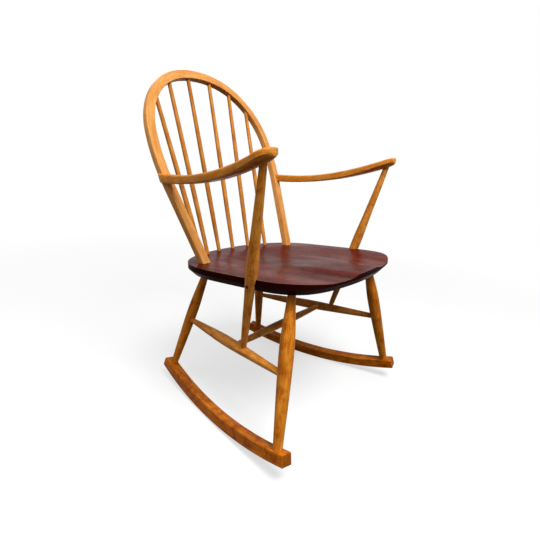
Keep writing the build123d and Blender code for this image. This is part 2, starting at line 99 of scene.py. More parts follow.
lacquer_rough = (0.28, 0.48)  # where it is sound, and where it is worn
grain_depth = 0.0002          # m, how far the finish has sunk into the grain
sunk_share = 0.3              # how strongly that shows


def beech(name, pale, deep, wear=0.5):
    """Lacquered beech in two tones. Wear is how far use has brought out its marks."""
    material = bpy.data.materials.new(name)
    material.use_nodes = True
    tree = material.node_tree
    tree.nodes.clear()
    grain = add(tree, "ShaderNodeAttribute", attribute_name="grain").outputs["Vector"]
    pattern = {"sawn_and_shaded": add(tree, "ShaderNodeAttribute", attribute_name="end_grain_and_shade").outputs["Fac"]}
    for key, (steps, detail, rough, swirl) in beech_noises.items():
        spaced = add(tree, "ShaderNodeVectorMath",
                     {0: grain, 1: [1000.0 / step for step in steps]}, operation="MULTIPLY")
        pattern[key] = add(tree, "ShaderNodeTexNoise",
                           {"Vector": spaced.outputs[0], "Scale": 1.0, "Detail": detail,
                            "Roughness": rough, "Distortion": swirl}).outputs["Fac"]
    for key, steps in beech_cells.items():
        spaced = add(tree, "ShaderNodeVectorMath",
                     {0: grain, 1: [1000.0 / step for step in steps]}, operation="MULTIPLY")
        pattern[key] = add(tree, "ShaderNodeTexVoronoi",
                           {"Vector": spaced.outputs[0], "Scale": 1.0}).outputs["Distance"]
    pattern["ray"] = add(tree, "ShaderNodeMath",
                         {0: pattern["patch"], 1: ray_gather, 2: pattern["ray"]},
                         operation="MULTIPLY_ADD").outputs[0]
    # each tint follows a pattern between two of its values, from one share to another
    colour = linear(pale)
    for key, low, high, start, end, tint, blend in (
            ("drift", 0.36, 0.66, 0.0, 1.0, deep, "MIX"),
            ("streak", 0.36, 0.66, 0.0, grain_least + (1.0 - grain_least) * wear,
             "#C89868", "MULTIPLY"),
            ("patch", 0.45, 0.72, 0.0, wear, "#B8804C", "MULTIPLY"),
            ("ray", -0.26, -0.12, ray_most * wear, 0.0, "#6E3710", "MIX"),
            ("knot", 0.03, 0.06, wear, 0.0, "#2E1406", "MIX"),
            ("sawn_and_shaded", 0.0, 1.0, 0.0, end_grain_dark, "#5A2B10", "MIX")):
        share = add(tree, "ShaderNodeMapRange",
                    {0: pattern[key], 1: low, 2: high, 3: start, 4: end}).outputs[0]
        colour = add(tree, "ShaderNodeMix", {0: share, 6: colour, 7: linear(tint)},
                     data_type="RGBA", blend_type=blend).outputs[2]
    # the finish has sunk a little along the grain, and is duller where it is worn
    bump = add(tree, "ShaderNodeBump", {"Height": pattern["streak"],
                                        "Strength": sunk_share, "Distance": grain_depth}).outputs[0]
    dull = add(tree, "ShaderNodeMapRange",
               {0: pattern["patch"], 1: 0.3, 2: 0.75, 3: lacquer_rough[0],
                4: lacquer_rough[1]}).outputs[0]
    surface = add(tree, "ShaderNodeBsdfPrincipled",
                  {"Base Color": colour, "Roughness": dull, "IOR": lacquer_ior,
                   "Specular IOR Level": lacquer_shine, "Normal": bump})
    add(tree, "ShaderNodeOutputMaterial", {"Surface": surface.outputs[0]})
    return material


rocker_beech = beech("lacquered_beech_rocker", "#DE8618", "#B4640E", 0.85)
rocker_radius = 0.928         # m, of its underside, in its own plane
end_grain_share = 0.85        # a face this square to the grain shows end grain
smooth_below = math.radians(28.0)
weld_within = 1e-6            # m
plank_apart = Vector((0.37, 0.21, 1.3))      # between the planks of two pieces in the pattern
# the chair is set out upright and rolls back about the middle of the rockers' curve
rest_tilt = math.radians(2.25)
roll_centre = Vector((0.0, 0.0, 0.90306))
rolled = (Matrix.Translation(roll_centre) @ Matrix.Rotation(-rest_tilt, 4, "X")
          @ Matrix.Translation(-roll_centre))
# where the left rocker stands: out from the middle, toed in and leaned in
rocker_out = 0.2275
rocker_toe_in = math.radians(11.1)
rocker_lean = math.radians(8.3)
rocker_set = (Matrix.Translation((rocker_out, 0.0, 0.0))
              @ Matrix.Rotation(rocker_toe_in, 4, "Z")
              @ Matrix.Rotation(-rocker_lean, 4, "Y"))


def own_copy(node, name, material):
    """A closed, smooth copy of a CAD node's loose triangles, to stand for it."""
    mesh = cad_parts[node].data.copy()
    mesh.name = name
    shape = bmesh.new()
    shape.from_mesh(mesh)
    bmesh.ops.remove_doubles(shape, verts=shape.verts, dist=weld_within)
    shape.to_mesh(mesh)
    shape.free()
    if mesh.has_custom_normals:
        mesh.attributes.remove(mesh.attributes["custom_normal"])
    mesh.shade_smooth()
    mesh.set_sharp_from_angle(angle=smooth_below)
    mesh.materials.clear()
    mesh.materials.append(material)
    piece = bpy.data.objects.new(name, mesh)
    scene.collection.objects.link(piece)
    return piece


def lay_grain(piece, place, plank):
    """Writes where each point lies in its plank: across, through and along it."""
    mesh = piece.data
    points = np.array([place(vertex.co) for vertex in mesh.vertices])
    points += np.array(plank_apart) * plank
    grain = mesh.attributes.new("grain", "FLOAT_VECTOR", "POINT")
    grain.data.foreach_set("vector", points.ravel())


def mark_darkened_faces(piece, is_darkened):
    """Marks the faces that a test picks, for the finish to darken: sawn faces, or on the seat faces
    given painted shade.
    """
    faces = [is_darkened(face) for face in piece.data.polygons]
    marks = piece.data.attributes.new("end_grain_and_shade", "FLOAT", "FACE")
    marks.data.foreach_set("value", np.array(faces, dtype=float))


def mark_end_grain(piece, along):
    """Marks the faces that are sawn across the grain."""
    mark_darkened_faces(piece, lambda face: abs(face.normal.dot(along(face.center))) > end_grain_share)


def dressed(piece, node):
    """Puts a piece in a CAD node's place, on the root body, and hides the node."""
    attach(piece, "root")
    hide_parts(node)
    return piece


def round_the_curve(out):
    """Ways to find a point's place in a bent rocker, and the run of the grain at it."""
    placed = rolled @ Matrix.Diagonal((out, 1.0, 1.0, 1.0)) @ rocker_set
    upright = placed.inverted()

    def place(point):
        point = upright @ point
        angle = math.atan2(point.y, rocker_radius - point.z)
        radius = math.hypot(point.y, rocker_radius - point.z)
        return (point.x, radius - rocker_radius, angle * rocker_radius)

    def along(point):
        point = upright @ point
        return (placed.to_3x3() @ Vector((0.0, rocker_radius - point.z, point.y))).normalized()

    return place, along


for plank, (side, out) in enumerate((("left", 1.0), ("right", -1.0)), start=1):
    rocker = own_copy(f"rocker_{side}", f"rocker_{side}_bar", rocker_beech)
    place, along = round_the_curve(out)
    lay_grain(rocker, place, plank)
    mark_end_grain(rocker, along)
    dressed(rocker, f"rocker_{side}")


# ------------------------------------------------------------------ legs
# Four beech legs turned between centres on a lathe, fattest above the middle and slim again
# below the seat. A peg at each end is glued into the rocker and into the underside of the seat.
leg_beech = beech("lacquered_beech_turned", "#E8982F", "#C6781C", 0.65)
# profiles give the share of the way up from the rocker and the diameter in millimetres
front_leg_profile = ((0.0, 20.6), (0.336, 29.3), (0.628, 34.0), (0.766, 29.6), (0.857, 24.0),
                     (0.946, 19.8))
rear_leg_profile = ((0.0, 17.4), (0.202, 22.8), (0.554, 30.2), (0.755, 24.4), (0.943, 17.4))
# length and diameter of the peg at the foot and of the one at the head, in millimetres
leg_pegs = {"front": ((15.0, 14.0), (14.0, 18.0)), "rear": ((15.0, 14.0), (14.0, 16.5))}
leg_foot_let_in = 3.5         # mm, how far the shoulder of the foot sinks into the rocker
leg_sides = 56
ring_spacing = 0.0025         # m
peg_taper_from = 0.7          # a peg without a shoulder swells over the last of its length
peg_taper_to = 0.3
place_digits = 6              # places in metres are told apart to the micrometre
end_within = (1e-3, 1e-4, 2e-5)      # m, ever closer looks for a stick's flat ends
line_steps = 24

turned_stick = bpy.data.node_groups.new("turned_stick", "GeometryNodeTree")
for name, kind in (("Axis", "Geometry"), ("Sides", "Int"), ("Ring Spacing", "Float"),
                   ("Plank", "Vector"), ("Wood", "Material")):
    turned_stick.interface.new_socket(name, in_out="INPUT", socket_type=f"NodeSocket{kind}")
turned_stick.interface.new_socket("Stick", in_out="OUTPUT", socket_type="NodeSocketGeometry")
given = add(turned_stick, "NodeGroupInput").outputs
# rings along the axis, each remembering how far along it is and how thick the wood is there
rings = add(turned_stick, "GeometryNodeResampleCurve",
            {"Curve": given["Axis"], "Length": given["Ring Spacing"]}, mode="LENGTH")
far = add(turned_stick, "GeometryNodeSplineParameter").outputs["Length"]
thick = add(turned_stick, "GeometryNodeInputRadius").outputs[0]
rings = add(turned_stick, "GeometryNodeStoreNamedAttribute",
            {"Geometry": rings.outputs[0], "Name": "far", "Value": far},
            data_type="FLOAT", domain="POINT")
rings = add(turned_stick, "GeometryNodeStoreNamedAttribute",
            {"Geometry": rings.outputs[0], "Name": "thick", "Value": thick},
            data_type="FLOAT", domain="POINT")
circle = add(turned_stick, "GeometryNodeCurvePrimitiveCircle",
             {"Resolution": given["Sides"], "Radius": 1.0}, mode="RADIUS")
spot = add(turned_stick, "GeometryNodeInputPosition").outputs[0]
circle = add(turned_stick, "GeometryNodeStoreNamedAttribute",
             {"Geometry": circle.outputs[0], "Name": "round", "Value": spot},
             data_type="FLOAT_VECTOR", domain="POINT")
skin = add(turned_stick, "GeometryNodeCurveToMesh",
           {"Curve": rings.outputs[0], "Profile Curve": circle.outputs[0], "Scale": thick,
            "Fill Caps": True})
# the place of each point in the plank that the stick was turned from
round_it = add(turned_stick, "GeometryNodeInputNamedAttribute", {"Name": "round"},
               data_type="FLOAT_VECTOR").outputs[0]
thick = add(turned_stick, "GeometryNodeInputNamedAttribute", {"Name": "thick"},
            data_type="FLOAT").outputs[0]
far = add(turned_stick, "GeometryNodeInputNamedAttribute", {"Name": "far"},
          data_type="FLOAT").outputs[0]
across = add(turned_stick, "ShaderNodeVectorMath", {0: round_it, "Scale": thick},
             operation="SCALE").outputs[0]
upward = add(turned_stick, "ShaderNodeCombineXYZ", {"Z": far}).outputs[0]
inside = add(turned_stick, "ShaderNodeVectorMath", {0: across, 1: upward},
             operation="ADD").outputs[0]
inside = add(turned_stick, "ShaderNodeVectorMath", {0: inside, 1: given["Plank"]},
             operation="ADD").outputs[0]
skin = add(turned_stick, "GeometryNodeStoreNamedAttribute",
           {"Geometry": skin.outputs[0], "Name": "grain", "Value": inside},
           data_type="FLOAT_VECTOR", domain="POINT")
skin = add(turned_stick, "GeometryNodeSetShadeSmooth", {"Geometry": skin.outputs[0]})
skin = add(turned_stick, "GeometryNodeRealizeInstances", {"Geometry": skin.outputs[0]})
skin = add(turned_stick, "GeometryNodeSetMaterial",
           {"Geometry": skin.outputs[0], "Material": given["Wood"]})
add(turned_stick, "NodeGroupOutput", {"Stick": skin.outputs[0]})


def made_by(tree, curve, name, sizes):
    """A plain mesh of a curve that has been through a node tree with the given inputs."""
    line = bpy.data.objects.new(f"{name}_line", curve)
    scene.collection.objects.link(line)
    shaping = line.modifiers.new("shaping", "NODES")
    shaping.node_group = tree
    for socket in tree.interface.items_tree:
        if socket.in_out == "INPUT" and socket.name in sizes:
            shaping[socket.identifier] = sizes[socket.name]
    ready = bpy.context.evaluated_depsgraph_get()
    mesh = bpy.data.meshes.new_from_object(line.evaluated_get(ready), depsgraph=ready)
    mesh.name = name
    piece = bpy.data.objects.new(name, mesh)
    scene.collection.objects.link(piece)
    line.modifiers.remove(shaping)
    bpy.data.objects.remove(line)
    return piece


def ends(node, towards):
    """Middles of a turned CAD piece's two flat ends, in the order of a direction."""
    points = [vertex.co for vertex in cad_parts[node].data.vertices]
    points = np.unique(np.round(points, place_digits), axis=0)
    far = points[np.argmax(np.linalg.norm(points - points.mean(0), axis=1))]
    near = points[np.argmax(np.linalg.norm(points - far, axis=1))]
    for tolerance in end_within:
        reach = points @ ((far - near) / np.linalg.norm(far - near))
        far = points[reach > reach.max() - tolerance].mean(0)
        near = points[reach < reach.min() + tolerance].mean(0)
    return sorted((Vector(near), Vector(far)), key=lambda end: end.dot(Vector(towards)))


def turned(node, name, towards, profile, pegs, plank, material, let_in=0.0, sides=leg_sides):
    """A turned stick on a CAD node's axis, smooth between its stations and its pegs."""
    start, end = ends(node, towards)
    (low_reach, low_peg), (high_reach, high_peg) = pegs
    whole = (end - start).length * 1000.0
    length = whole - low_reach - high_reach
    stations = [(low_reach + share * length, diameter) for share, diameter in profile]
    first, last = stations[0], stations[-1]
    shoulder = first[0] - let_in
    # a station given twice keeps its corner
    if let_in:
        stations[:1] = [(0.0, low_peg), (shoulder, low_peg), (shoulder, low_peg),
                        (shoulder, first[1]), (shoulder, first[1])]
    else:
        stations[:0] = [(0.0, low_peg), (shoulder * peg_taper_from, low_peg)]
    stations += [(last[0] + (whole - last[0]) * peg_taper_to, high_peg), (whole, high_peg)]
    curve = bpy.data.curves.new(name, "CURVE")
    curve.dimensions = "3D"
    spline = curve.splines.new("NURBS")
    spline.points.add(len(stations) - 1)
    for point, (distance, diameter) in zip(spline.points, stations):
        point.co = (*start.lerp(end, distance / whole), 1.0)
        point.radius = diameter / 1000.0 / 2
    spline.order_u = 3
    spline.use_endpoint_u = True
    spline.resolution_u = line_steps
    sizes = {"Sides": sides, "Ring Spacing": ring_spacing,
             "Plank": plank_apart * plank, "Wood": material}
    return made_by(turned_stick, curve, name, sizes)


upward_first = (0.0, 0.0, 1.0)
plank = 3
for place, profile in (("front", front_leg_profile), ("rear", rear_leg_profile)):
    for side in ("left", "right"):
        node = f"leg_{place}_{side}"
        leg = turned(node, f"{node}_turned", upward_first, profile, leg_pegs[place], plank,
                     leg_beech, leg_foot_let_in)
        dressed(leg, node)
        plank += 1


# ------------------------------------------------------------------ stretchers
# Two side rails and one cross rail, turned like the legs and glued into blind holes, so that
# the side rails brace front leg to rear leg and the cross rail holds the two sides together.
stretcher_beech = beech("lacquered_beech_stretcher", "#F4AA4C", "#DA8C34", 0.6)
# from the front or the sitter's left end; profiles and pegs are given as those of the legs
side_profile = ((0.07, 14.4), (0.25, 21.8), (0.46, 28.0), (0.72, 21.8), (0.93, 15.7))
side_pegs = ((5.0, 13.0), (5.0, 15.0))
cross_profile = ((0.06, 14.0), (0.27, 18.9), (0.5, 21.6), (0.73, 18.9), (0.94, 14.0))
cross_pegs = ((3.0, 14.0), (3.0, 14.0))

for side in ("left", "right"):
    node = f"side_stretcher_{side}"
    rail = turned(node, f"{node}_turned", (0.0, -1.0, 0.0), side_profile, side_pegs, plank,
                  stretcher_beech)
    dressed(rail, node)
    plank += 1
rail = turned("cross_stretcher", "cross_stretcher_turned", (-1.0, 0.0, 0.0), cross_profile,
              cross_pegs, plank, stretcher_beech)
dressed(rail, "cross_stretcher")
plank += 1


# ------------------------------------------------------------------ seat
# A slab of three elm boards glued edge to edge, hollowed for the thighs, bevelled below, and
# stained a dark red-brown under a thin polish. Legs, bow, spindles and posts are let into it.
board_width = 152.0           # mm
board_middle = 0.5            # the middle board straddles the middle of the seat
board_apart = (0.31, 0.17, 0.83)     # each board comes from another part of the tree
# steps in millimetres across the board, through it and along it, then detail, roughness, swirl
elm_noises = {
    "figure": ((16.0, 60.0, 210.0), 4.0, 0.6, 0.8),     # the broad growth layers
    "pore": ((1.6, 1.6, 34.0), 3.0, 0.6, 0.0),          # open pores, drawn coarse to show
    "worn": ((70.0, 70.0, 90.0), 3.0, 0.55, 0.0),       # where the polish is rubbed
}
elm_pale, elm_deep = "#7C2814", "#46130A"
edge_stain_and_shade = 0.9              # the seat's edge and the bevel under it are darkened: partly stain drunk in by the sawn edge, partly painted shade
seat_edge_lean = (-0.95, 0.75)       # how far up the faces of the sawn edge and its bevel look, which get this painted shade
polish_ior = (1.3, 1.1)       # on the top and on the edge, which has hardly any
polish_shine = 0.08
polish_rough = (0.26, 0.42)
pore_depth, pore_share = 0.0003, 0.3         # m, and how strongly it shows


def stained_elm():
    """Elm, coarse and wavy in the grain, stained dark under a polish that mirrors little."""
    material = bpy.data.materials.new("stained_elm")
    material.use_nodes = True
    tree = material.node_tree
    tree.nodes.clear()
    grain = add(tree, "ShaderNodeAttribute", attribute_name="grain").outputs["Vector"]
    # the marked faces: sawn wood with its stain, and painted shade on the edge and the bevel under
    # it
    sawn_and_shaded = add(tree, "ShaderNodeAttribute", attribute_name="end_grain_and_shade").outputs["Fac"]
    split = add(tree, "ShaderNodeSeparateXYZ", {0: grain}).outputs
    count = add(tree, "ShaderNodeMath", {0: split["X"], 1: 1000.0 / board_width,
                                         2: board_middle}, operation="MULTIPLY_ADD").outputs[0]
    board = add(tree, "ShaderNodeMath", {0: count}, operation="FLOOR").outputs[0]
    # how far from the middle of a board, 0.5 at its glued edge
    joint = add(tree, "ShaderNodeMath", {0: count, 1: 1.0}, operation="PINGPONG").outputs[0]
    tone = add(tree, "ShaderNodeTexWhiteNoise", {"W": board},
               noise_dimensions="1D").outputs["Value"]
    pattern = {"sawn_and_shaded": sawn_and_shaded, "joint": joint, "tone": tone}
    moved = add(tree, "ShaderNodeVectorMath", {0: board_apart, "Scale": board},
                operation="SCALE").outputs[0]
    inside = add(tree, "ShaderNodeVectorMath", {0: grain, 1: moved}, operation="ADD").outputs[0]
    for key, (steps, detail, rough, swirl) in elm_noises.items():
        spaced = add(tree, "ShaderNodeVectorMath",
                     {0: inside, 1: [1000.0 / step for step in steps]}, operation="MULTIPLY")
        pattern[key] = add(tree, "ShaderNodeTexNoise",
                           {"Vector": spaced.outputs[0], "Scale": 1.0, "Detail": detail,
                            "Roughness": rough, "Distortion": swirl}).outputs["Fac"]
    colour = linear(elm_pale)
    for key, low, high, start, end, tint, blend in (
            ("figure", 0.34, 0.68, 0.0, 1.0, elm_deep, "MIX"),
            ("pore", 0.44, 0.62, 0.0, 1.0, "#7D5C50", "MULTIPLY"),
            ("tone", 0.0, 1.0, 0.0, 1.0, "#C9AFA6", "MULTIPLY"),
            ("joint", 0.003, 0.012, 0.7, 0.0, "#160605", "MIX"),
            # the edge and the bevel under it go almost black: stain in the sawn wood and painted
            # shade on faces that look sideways or down
            ("sawn_and_shaded", 0.0, 1.0, 0.0, edge_stain_and_shade, "#180403", "MIX")):
        share = add(tree, "ShaderNodeMapRange",
                    {0: pattern[key], 1: low, 2: high, 3: start, 4: end}).outputs[0]
        colour = add(tree, "ShaderNodeMix", {0: share, 6: colour, 7: linear(tint)},
                     data_type="RGBA", blend_type=blend).outputs[2]
    # the pores are open under the polish, which is rubbed dull in places
    bump = add(tree, "ShaderNodeBump", {"Height": pattern["pore"], "Strength": pore_share,
                                        "Distance": pore_depth}, invert=True).outputs[0]
    dull = add(tree, "ShaderNodeMapRange",
               {0: pattern["worn"], 1: 0.3, 2: 0.7, 3: polish_rough[0],
                4: polish_rough[1]}).outputs[0]
    polish = add(tree, "ShaderNodeMapRange",
                 {0: sawn_and_shaded, 3: polish_ior[0], 4: polish_ior[1]}).outputs[0]
    surface = add(tree, "ShaderNodeBsdfPrincipled",
                  {"Base Color": colour, "Roughness": dull, "IOR": polish,
                   "Specular IOR Level": polish_shine, "Normal": bump})
    add(tree, "ShaderNodeOutputMaterial", {"Surface": surface.outputs[0]})
    return material


seat = own_copy("seat", "seat_slab", stained_elm())
lay_grain(seat, lambda point: (point.x, point.z, -point.y), 0)
# faces that look sideways or down, the edge and the bevel under it, are marked for stain and
# painted shade
mark_darkened_faces(seat, lambda face: seat_edge_lean[0] < face.normal.z < seat_edge_lean[1])
dressed(seat, "seat")


# ------------------------------------------------------------------ bow
# One square beech bar steamed and bent round a form, its outer edges rounded and its inner
# edges eased. Both feet are let into the seat and the spindles' heads into its inner side.
bow_beech = beech("lacquered_beech_bent", "#EAAC62", "#D6924A", 0.2)
bow_width = 0.024             # m, across the front face
bow_depth = 0.018
bow_outer_round = 0.003
bow_inner_round = 0.0015
bow_mortise = 0.017           # how deep its feet stand in the seat
bow_foot_half_gauge = 0.1772
bow_leg_splay = math.radians(10.8)
bow_leg_length = 0.2164
bow_side = (0.464, math.radians(17.1))        # radius and turn of the flat curve
bow_shoulder = (0.201, math.radians(69.6))
bow_step = math.radians(1.0)
bow_ring_spacing = 0.004      # m
bow_corner_steps = 5
seat_slope = math.radians(4.0)
bow_lean = math.radians(25.1)
bow_front_y = 0.1082          # front face of the bow where it meets the seat
seat_height = 0.3783
front_normal = Vector((0.0, -math.cos(bow_lean), math.sin(bow_lean)))
up_the_bow = Vector((0.0, math.sin(bow_lean), math.cos(bow_lean)))
bow_origin = Vector((0.0, bow_front_y, seat_height - bow_front_y * math.tan(seat_slope)))
bow_origin -= front_normal * bow_depth / 2


def half_bow():
    """Points of the bow's middle line from its right foot to the crown, in its own plane."""
    heading = bow_leg_splay
    point = Vector((bow_foot_half_gauge, 0.0))
    ahead = Vector((math.sin(heading), math.cos(heading)))
    line = [point - ahead * bow_mortise, point, point + ahead * bow_leg_length]
    for radius, turn in (bow_side, bow_shoulder, (0.0, 0.0)):
        # the crown's radius and turn are what is left, level in the middle
        radius = radius or line[-1].x / math.cos(heading)
        turn = turn or heading + math.pi / 2
        steps = round(turn / bow_step)
        chord = 2 * radius * math.sin(turn / steps / 2)
        for _ in range(steps):
            heading -= turn / steps / 2
            line.append(line[-1] + chord * Vector((math.sin(heading), math.cos(heading))))
            heading -= turn / steps / 2
    return line


bent_bar = bpy.data.node_groups.new("bent_bar", "GeometryNodeTree")
for name, kind in (("Line", "Geometry"), ("Width", "Float"), ("Depth", "Float"),
                   ("Outer Round", "Float"), ("Inner Round", "Float"), ("Front", "Vector"),
                   ("Step", "Float"), ("Plank", "Vector"), ("Wood", "Material")):
    bent_bar.interface.new_socket(name, in_out="INPUT", socket_type=f"NodeSocket{kind}")
bent_bar.interface.new_socket("Bar", in_out="OUTPUT", socket_type="NodeSocketGeometry")
given = add(bent_bar, "NodeGroupInput").outputs
rail = add(bent_bar, "GeometryNodeResampleCurve",
           {"Curve": given["Line"], "Length": given["Step"]}, mode="LENGTH")
far = add(bent_bar, "GeometryNodeSplineParameter").outputs["Length"]
rail = add(bent_bar, "GeometryNodeStoreNamedAttribute",
           {"Geometry": rail.outputs[0], "Name": "far", "Value": far},
           data_type="FLOAT", domain="POINT")
rail = add(bent_bar, "GeometryNodeSetCurveNormal",
           {"Curve": rail.outputs[0], "Normal": given["Front"]}, mode="FREE")
# the section, wide across the front of the bow, its outer corners rounder than its inner ones
section = add(bent_bar, "GeometryNodeCurvePrimitiveQuadrilateral",
              {"Width": given["Depth"], "Height": given["Width"]}, mode="RECTANGLE")
spot = add(bent_bar, "GeometryNodeInputPosition").outputs[0]
sideways = add(bent_bar, "ShaderNodeSeparateXYZ", {0: spot}).outputs["Y"]
outside = add(bent_bar, "FunctionNodeCompare", {0: sideways, 1: 0.0},
              data_type="FLOAT", operation="GREATER_THAN").outputs[0]
corner = add(bent_bar, "GeometryNodeSwitch",
             {"Switch": outside, "False": given["Inner Round"], "True": given["Outer Round"]},
             input_type="FLOAT").outputs[0]
section = add(bent_bar, "GeometryNodeFilletCurve",
              {"Curve": section.outputs[0], "Radius": corner,
               "Count": bow_corner_steps}, mode="POLY")
section = add(bent_bar, "GeometryNodeStoreNamedAttribute",
              {"Geometry": section.outputs[0], "Name": "round", "Value": spot},
              data_type="FLOAT_VECTOR", domain="POINT")
skin = add(bent_bar, "GeometryNodeCurveToMesh",
           {"Curve": rail.outputs[0], "Profile Curve": section.outputs[0], "Fill Caps": True})
round_it = add(bent_bar, "GeometryNodeInputNamedAttribute", {"Name": "round"},
               data_type="FLOAT_VECTOR").outputs[0]
far = add(bent_bar, "GeometryNodeInputNamedAttribute", {"Name": "far"},
          data_type="FLOAT").outputs[0]
upward = add(bent_bar, "ShaderNodeCombineXYZ", {"Z": far}).outputs[0]
inside = add(bent_bar, "ShaderNodeVectorMath", {0: round_it, 1: upward},
             operation="ADD").outputs[0]
inside = add(bent_bar, "ShaderNodeVectorMath", {0: inside, 1: given["Plank"]},
             operation="ADD").outputs[0]
skin = add(bent_bar, "GeometryNodeStoreNamedAttribute",
           {"Geometry": skin.outputs[0], "Name": "grain", "Value": inside},
           data_type="FLOAT_VECTOR", domain="CORNER")
skin = add(bent_bar, "GeometryNodeRealizeInstances", {"Geometry": skin.outputs[0]})
skin = add(bent_bar, "GeometryNodeSetMaterial",
           {"Geometry": skin.outputs[0], "Material": given["Wood"]})
add(bent_bar, "NodeGroupOutput", {"Bar": skin.outputs[0]})

half = half_bow()
bow_line = half + [Vector((-point.x, point.y)) for point in reversed(half[:-1])]
curve = bpy.data.curves.new("bow", "CURVE")
curve.dimensions = "3D"
spline = curve.splines.new("POLY")
spline.points.add(len(bow_line) - 1)
for point, (across, up) in zip(spline.points, bow_line):
    point.co = (*(rolled @ (bow_origin + Vector((across, 0, 0)) + up_the_bow * up)), 1.0)
bow = made_by(bent_bar, curve, "hoop_bent", {
    "Width": bow_width, "Depth": bow_depth, "Outer Round": bow_outer_round,
    "Inner Round": bow_inner_round, "Front": rolled.to_3x3() @ front_normal,
    "Step": bow_ring_spacing, "Plank": plank_apart * plank, "Wood": bow_beech})
# the heads of the arms' screws are sunk into its back, level, each in a hole of its own
sink_out, sink_rise = 0.220, 0.1962          # from the middle, and above the seat
sink_radius, sink_depth = 0.0044, 0.0032
sink_clear = 0.012            # the drill starts this far behind the bow
sink_sides = 32
bow_back = bow_origin - front_normal * bow_depth / 2
sink_level = seat_height + sink_rise
sink_y = bow_back.y + (sink_level - bow_back.z) * math.tan(bow_lean)
drill_mesh = bpy.data.meshes.new("drill")
shape = bmesh.new()
for out in (1, -1):
    middle = Vector((out * sink_out, sink_y + (sink_clear - sink_depth) / 2, sink_level))
    bmesh.ops.create_cone(
        shape, cap_ends=True, segments=sink_sides, radius1=sink_radius, radius2=sink_radius,
        depth=sink_clear + sink_depth,
        matrix=rolled @ Matrix.Translation(middle) @ Matrix.Rotation(math.pi / 2, 4, "X"))
shape.to_mesh(drill_mesh)
shape.free()
drill = bpy.data.objects.new("drill", drill_mesh)
scene.collection.objects.link(drill)
boring = bow.modifiers.new("boring", "BOOLEAN")
boring.object = drill
boring.solver = "EXACT"
ready = bpy.context.evaluated_depsgraph_get()
bow.data = bpy.data.meshes.new_from_object(bow.evaluated_get(ready), depsgraph=ready)
bow.modifiers.remove(boring)
bpy.data.objects.remove(drill)
bow.data.shade_smooth()
bow.data.set_sharp_from_angle(angle=smooth_below)
dressed(bow, "hoop")
plank += 1


# ------------------------------------------------------------------ spindles
# Six slim sticks, turned with a slight belly low down. They fan out from the back of the seat
# and are glued into blind holes in the seat and in the inner side of the bow.
spindle_beech = beech("lacquered_beech_spindle", "#E29C46", "#BE7A30", 0.4)
spindle_foot, spindle_belly, spindle_head = 10.8, 14.4, 10.6         # mm across
spindle_profile = ((0.012, spindle_foot), (0.31, spindle_belly), (0.93, spindle_head))
spindle_seat_socket = 18.0    # mm
spindle_sides = 28
for number in range(1, 7):
    node = f"spindle_{number}"
    stick = turned(node, f"{node}_turned", upward_first, spindle_profile,
                   ((spindle_seat_socket, spindle_foot), (0.0, spindle_head)), plank,
                   spindle_beech, sides=spindle_sides)
    dressed(stick, node)
    plank += 1


# ------------------------------------------------------------------ arm posts
# Turned posts that rise from the side rails past the seat's edge to the arms. One screw each,
# under a round wooden plug, fixes them to the seat.
post_beech = beech("lacquered_beech_post", "#F0A648", "#CE8830", 0.6)
plug_beech = beech("dark_plug", "#5E341A", "#3A1E0E", 0.8)


def straight(origin, along):
    """Where a point lies in a straight plank."""
    along = along.normalized()
    through = along.cross(Vector((1.0, 0.0, 0.0))).normalized()
    across = through.cross(along)

    def place(point):
        offset = point - origin
        return (offset.dot(across), offset.dot(through), offset.dot(along))

    return place


for side in ("left", "right"):
    node = f"arm_post_{side}"
    foot, head = ends(node, upward_first)
    post = own_copy(node, f"{node}_turned", post_beech)
    lay_grain(post, straight(foot, head - foot), plank)
    dressed(post, node)
    plank += 1
# the plugs are cut across the grain of a darker piece, which lies level and fore and aft
plugs = own_copy("post_plugs", "post_plugs_cut", plug_beech)
lay_grain(plugs, lambda point: (point.x, point.z, -point.y), plank)
dressed(plugs, "post_plugs")
plank += 1


# ------------------------------------------------------------------ screws
# Slotted countersunk steel screws, zinc-plated and dulled with age. Those of the posts lie
# under the plugs, and those of the arms are sunk into the back of the bow.
def dull_zinc():
    """Zinc-plated steel: a grey metal with a cloudy, softly rubbed shine."""
    material = bpy.data.materials.new("zinc_plated_steel")
    material.use_nodes = True
    tree = material.node_tree
    tree.nodes.clear()
    where = add(tree, "ShaderNodeTexCoord").outputs["Object"]
    cloud = add(tree, "ShaderNodeTexNoise", {"Vector": where, "Scale": screw_cloud,
                                             "Detail": 4.0}).outputs["Fac"]
    colour = add(tree, "ShaderNodeMix", {0: cloud, 6: linear("#A8A6A0"), 7: linear("#7E7B74")},
                 data_type="RGBA").outputs[2]
    rough = add(tree, "ShaderNodeMapRange",
                {0: cloud, 3: screw_rough[0], 4: screw_rough[1]}).outputs[0]
    bump = add(tree, "ShaderNodeBump", {"Height": cloud, "Strength": 0.2,
                                        "Distance": plating_depth}).outputs[0]
    surface = add(tree, "ShaderNodeBsdfPrincipled",
                  {"Base Color": colour, "Metallic": 1.0, "Roughness": rough, "Normal": bump})
    add(tree, "ShaderNodeOutputMaterial", {"Surface": surface.outputs[0]})
    return material


screw_cloud = 700.0           # per metre, patches in the plating of about 1.5 mm
screw_rough = (0.3, 0.5)
plating_depth = 0.0001        # m
screw_zinc = dull_zinc()
for node in ("post_screws", "arm_screws"):
    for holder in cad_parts[node].material_slots:
        holder.material = screw_zinc


# ------------------------------------------------------------------ arms
# Each arm is sawn from one beech board to a flowing plan and side view, then spokeshaved round,
# most of all under its nose. It is lapped over the front and outer side of the bow, screwed
# from behind, and sits on the peg of its post.
arm_beech = beech("lacquered_beech_arm", "#EEA044", "#D0842C", 0.25)
